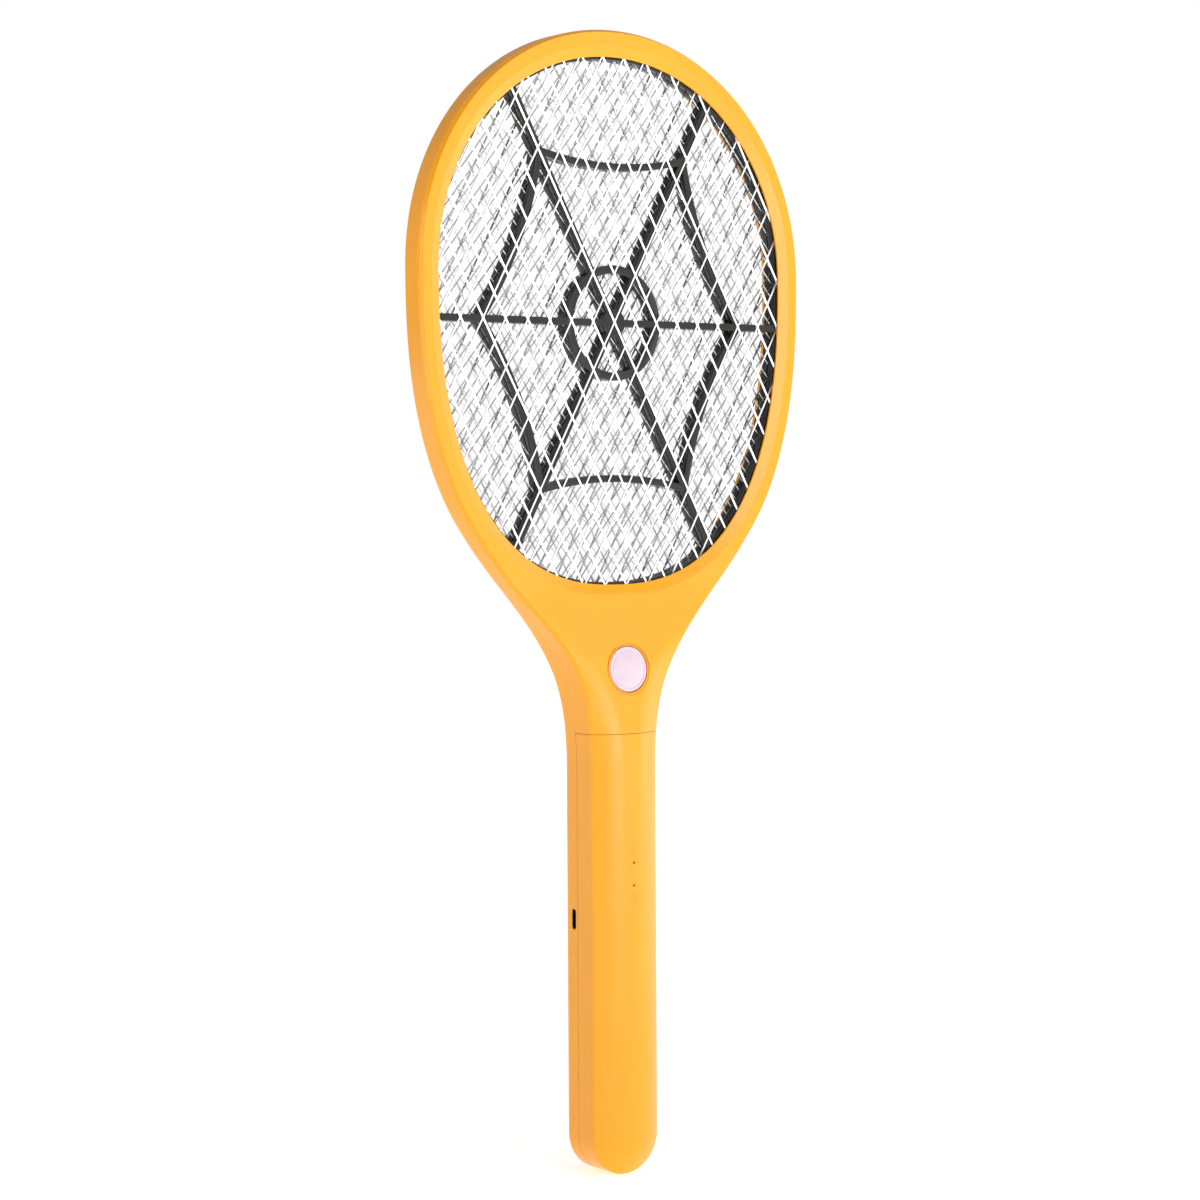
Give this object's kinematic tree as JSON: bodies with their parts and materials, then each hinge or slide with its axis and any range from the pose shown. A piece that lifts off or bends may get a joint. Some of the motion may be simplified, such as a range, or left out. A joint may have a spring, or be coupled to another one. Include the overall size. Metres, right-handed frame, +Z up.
{
  "type": "electric fly swatter",
  "caption": "Rechargeable racket-shaped electric fly swatter: egg-shaped head with layered metal meshes and web-shaped spacers, round push button, straight handle with charging socket.",
  "frame": {"origin": "centre of the handle section at the middle of the hand grip, 95 mm above the end of the handle", "axes": "+Z up along the handle to the head; -Y out of the front face with the button; +Y out of the back; the charging socket is on the -X side"},
  "size_m": [0.2042, 0.0276, 0.4998],
  "materials": {
    "yellow_plastic": "satin moulded plastic",
    "mesh_metal": "bright expanded metal",
    "black_plastic": "dark brown-black moulded plastic",
    "button_plastic": "translucent lilac-white plastic",
    "component_black": "black component body",
    "board_laminate": "green solder mask",
    "socket_steel": "plated socket shell",
    "led_lens": "clear diffused lens",
    "ferrite": "sintered ferrite",
    "copper_wire": "enamelled winding wire under tape",
    "capacitor_plastic": "dipped film capacitor",
    "disc_ceramic": "lacquered disc capacitor",
    "resistor_body": "lacquered film resistor",
    "cell_wrap": null,
    "red_insulation": "soft wire insulation",
    "black_insulation": "soft wire insulation",
    "screw_steel": "zinc plated steel"
  },
  "bodies": {
    "housing": {"front_frame": "yellow_plastic", "rear_shell": "yellow_plastic", "handle_cover": "yellow_plastic", "front_mesh": "mesh_metal", "centre_mesh": "mesh_metal", "rear_mesh": "mesh_metal", "front_spacer": "black_plastic", "rear_spacer": "black_plastic", "switch_body": "component_black", "main_board": "board_laminate", "usb_shell": "socket_steel", "usb_tongue": "component_black", "led_charge": "led_lens", "led_power": "led_lens", "transformer_core": "ferrite", "transformer_winding": "copper_wire", "storage_capacitor": "capacitor_plastic", "doubler_capacitor_1": "disc_ceramic", "doubler_capacitor_2": "disc_ceramic", "doubler_diode_1": "component_black", "doubler_diode_2": "component_black", "doubler_diode_3": "component_black", "transistor": "component_black", "resistor_1": "resistor_body", "resistor_2": "resistor_body", "battery_cell": "cell_wrap", "battery_lead_red": "red_insulation", "battery_lead_black": "black_insulation", "front_ground_lead": "black_insulation", "high_voltage_lead": "red_insulation", "rear_ground_lead": "black_insulation", "ring_screw_1": "screw_steel", "ring_screw_2": "screw_steel", "ring_screw_3": "screw_steel", "ring_screw_4": "screw_steel", "ring_screw_5": "screw_steel", "ring_screw_6": "screw_steel", "ring_screw_7": "screw_steel", "ring_screw_8": "screw_steel", "neck_screw_1": "screw_steel", "neck_screw_2": "screw_steel", "handle_screw_1": "screw_steel", "handle_screw_2": "screw_steel", "board_screw_1": "screw_steel", "board_screw_2": "screw_steel"},
    "button": {"button_cap": "button_plastic"},
    "plunger": {"switch_plunger": "component_black"}
  },
  "joints": [
    {"name": "button_press", "type": "slide", "parent": "housing", "child": "button", "axis": [0, 1, 0], "range_m": [0, 0.0012], "stiffness_N_per_m": 1500},
    {"name": "plunger_travel", "type": "slide", "parent": "housing", "child": "plunger", "axis": [0, 1, 0], "range_m": [0, 0.0012], "stiffness_N_per_m": 300}
  ],
  "couplings": [
    {"joint": "plunger_travel", "follows": "button_press", "ratio": 1}
  ]
}
